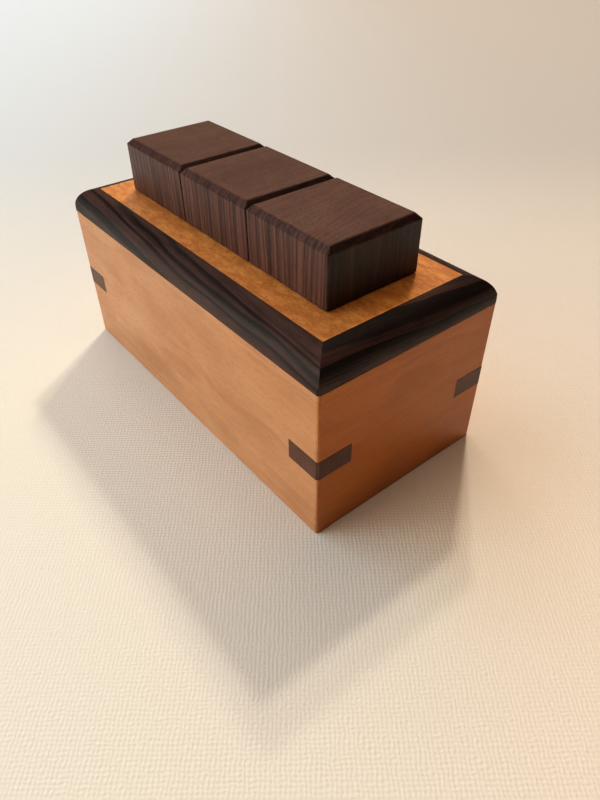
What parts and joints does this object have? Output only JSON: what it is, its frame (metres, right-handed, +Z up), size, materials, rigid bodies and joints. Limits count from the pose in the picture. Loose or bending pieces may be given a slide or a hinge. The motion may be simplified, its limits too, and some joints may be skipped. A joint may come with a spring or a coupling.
{
  "type": "wooden puzzle box",
  "caption": "Small mitred hardwood box with a lift-off lid; square blocks in a row on the lid slide to throw hidden bolts that lock it.",
  "frame": {"origin": "centre of the underside of the case, on the surface that it stands on", "axes": "+X along the case to its right end, +Y from the front wall to the back wall, +Z up"},
  "size_m": [0.1016, 0.0494, 0.0575],
  "materials": {
    "cherry": "satin oil, straight grain along each board",
    "wenge": "matte, fine dark and light bands",
    "rosewood": "satin oil, dark streaks along the moulding",
    "maple": "bare sanded wood",
    "brass": "turned, lightly worn",
    "nickel": "nickel plated, satin"
  },
  "bodies": {
    "case": {"front_wall": "cherry", "back_wall": "cherry", "left_wall": "cherry", "right_wall": "cherry", "base_panel": "cherry", "spline_front_left": "wenge", "spline_front_right": "wenge", "spline_back_left": "wenge", "spline_back_right": "wenge"},
    "lid": {"top_panel": "cherry", "band_front": "rosewood", "band_back": "rosewood", "band_left": "rosewood", "band_right": "rosewood", "lid_core": "maple", "keeper_plate": "maple", "keeper_screws": "brass", "keeper_magnets": "nickel"},
    "sliding_block_left": {"block_left": "wenge", "key_left": "maple", "bolt_left": "maple", "bolt_screws_left": "brass", "bolt_magnet_left": "nickel"},
    "sliding_block_middle": {"block_middle": "wenge", "key_middle": "maple", "bolt_middle": "maple", "bolt_screws_middle": "brass", "bolt_magnet_middle": "nickel"},
    "sliding_block_right": {"block_right": "wenge", "key_right": "maple", "bolt_right": "maple", "bolt_screws_right": "brass", "bolt_magnet_right": "nickel"}
  },
  "joints": [
    {"name": "lid_lift", "type": "slide", "parent": "case", "child": "lid", "axis": [0, 0, 1], "range_m": [0, 0.06]},
    {"name": "block_left_slide", "type": "slide", "parent": "lid", "child": "sliding_block_left", "axis": [0, 1, 0], "range_m": [-0.0045, 0.0045]},
    {"name": "block_middle_slide", "type": "slide", "parent": "lid", "child": "sliding_block_middle", "axis": [0, 1, 0], "range_m": [-0.0045, 0.0045]},
    {"name": "block_right_slide", "type": "slide", "parent": "lid", "child": "sliding_block_right", "axis": [0, 1, 0], "range_m": [-0.0045, 0.0045]}
  ]
}
